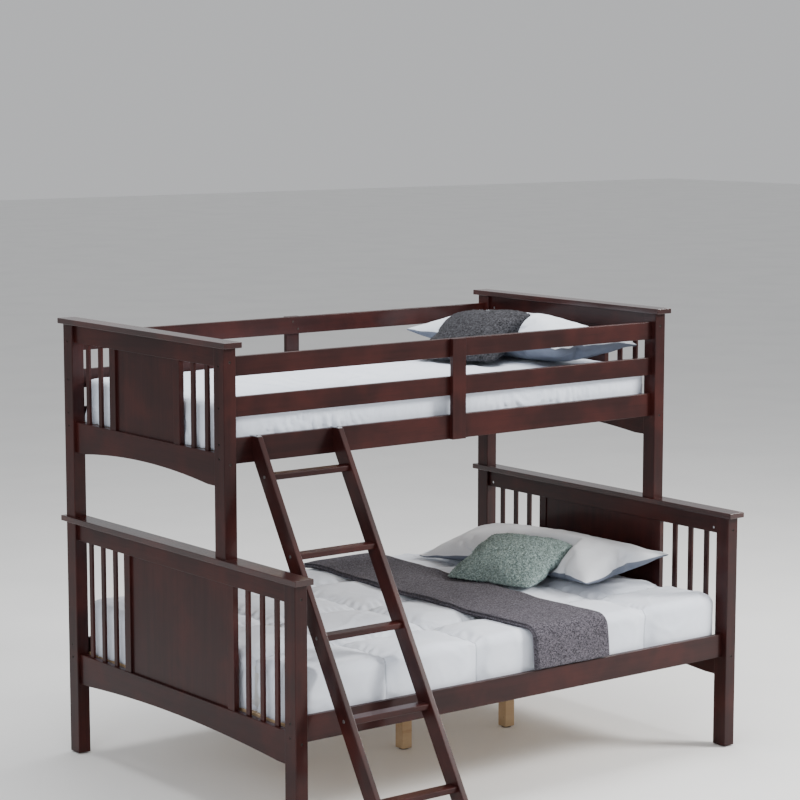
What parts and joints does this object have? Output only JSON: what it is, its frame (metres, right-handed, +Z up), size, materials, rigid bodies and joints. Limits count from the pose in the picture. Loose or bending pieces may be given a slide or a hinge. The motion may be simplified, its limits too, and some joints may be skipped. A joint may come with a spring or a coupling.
{
  "type": "bunk bed with ladder",
  "caption": "Wooden bunk bed, narrow upper bunk stacked over a wide lower bunk, spindle and panel ends, guard rails and a leaning hook-on ladder, dressed with bedding.",
  "frame": {"origin": "on the floor at the centre of the whole footprint, ladder included", "axes": "+X from the foot end to the pillow end, +Y towards the wall side, +Z up"},
  "size_m": [2.07, 1.8888, 1.65],
  "materials": {
    "stained_wood": "dark red-brown stain under satin lacquer",
    "slat_pine": "planed unfinished pine",
    "bronzed_steel": "dark bronze coated",
    "zinc_steel": "bright zinc plated",
    "glide_plastic": "black moulded",
    "foot_rubber": "matt black",
    "mattress_ticking": "woven ticking",
    "white_quilting": "soft brushed cotton with sewn seams",
    "white_percale": "plain weave cotton",
    "grey_herringbone": "fine herringbone cotton",
    "green_sherpa": "curly pile",
    "charcoal_tweed": "nubby tweed",
    "grey_knit": "heathered knit"
  },
  "bodies": {
    "lower_bunk": {"floor_glides": "glide_plastic", "lower_barrel_nuts": "zinc_steel", "lower_bottom_rail_foot": "stained_wood", "lower_bottom_rail_head": "stained_wood", "lower_cap_foot": "stained_wood", "lower_cap_head": "stained_wood", "lower_centre_support": "slat_pine", "lower_cushion": "green_sherpa", "lower_frame_bolts": "bronzed_steel", "lower_mattress": "mattress_ticking", "lower_panel_foot": "stained_wood", "lower_panel_head": "stained_wood", "lower_pillow": "grey_herringbone", "lower_post_foot_back": "stained_wood", "lower_post_foot_front": "stained_wood", "lower_post_head_back": "stained_wood", "lower_post_head_front": "stained_wood", "lower_quilt": "white_quilting", "lower_side_rail_back": "stained_wood", "lower_side_rail_front": "stained_wood", "lower_slat_ledgers": "slat_pine", "lower_slats": "slat_pine", "lower_spindles_foot": "stained_wood", "lower_spindles_head": "stained_wood", "lower_throw": "grey_knit", "lower_top_rail_foot": "stained_wood", "lower_top_rail_head": "stained_wood", "stacking_pins": "zinc_steel"},
    "upper_bunk": {"guard_rail_uprights": "stained_wood", "guard_rails": "stained_wood", "upper_barrel_nuts": "zinc_steel", "upper_bottom_rail_foot": "stained_wood", "upper_bottom_rail_head": "stained_wood", "upper_cap_foot": "stained_wood", "upper_cap_head": "stained_wood", "upper_frame_bolts": "bronzed_steel", "upper_panel_foot": "stained_wood", "upper_panel_head": "stained_wood", "upper_post_foot_back": "stained_wood", "upper_post_foot_front": "stained_wood", "upper_post_head_back": "stained_wood", "upper_post_head_front": "stained_wood", "upper_side_rail_back": "stained_wood", "upper_side_rail_front": "stained_wood", "upper_slat_ledgers": "slat_pine", "upper_slats": "slat_pine", "upper_spindles_foot": "stained_wood", "upper_spindles_head": "stained_wood", "upper_top_rail_foot": "stained_wood", "upper_top_rail_head": "stained_wood"},
    "ladder": {"ladder_bolts": "zinc_steel", "ladder_feet": "foot_rubber", "ladder_hooks": "zinc_steel", "ladder_rungs": "stained_wood", "ladder_stringer_left": "stained_wood", "ladder_stringer_right": "stained_wood"},
    "upper_mattress": {"upper_mattress": "mattress_ticking", "upper_fitted_sheet": "white_percale", "upper_pillow": "white_percale", "upper_cushion": "charcoal_tweed"}
  },
  "joints": [
    {"name": "upper_bunk_lift", "type": "slide", "parent": "lower_bunk", "child": "upper_bunk", "axis": [0, 0, 1], "range_m": [0, 0.06]},
    {"name": "ladder_unhook", "type": "slide", "parent": "upper_bunk", "child": "ladder", "axis": [0, 0, 1], "range_m": [0, 0.055]},
    {"name": "upper_mattress_lift", "type": "slide", "parent": "upper_bunk", "child": "upper_mattress", "axis": [0, 0, 1], "range_m": [0, 0.18]}
  ]
}
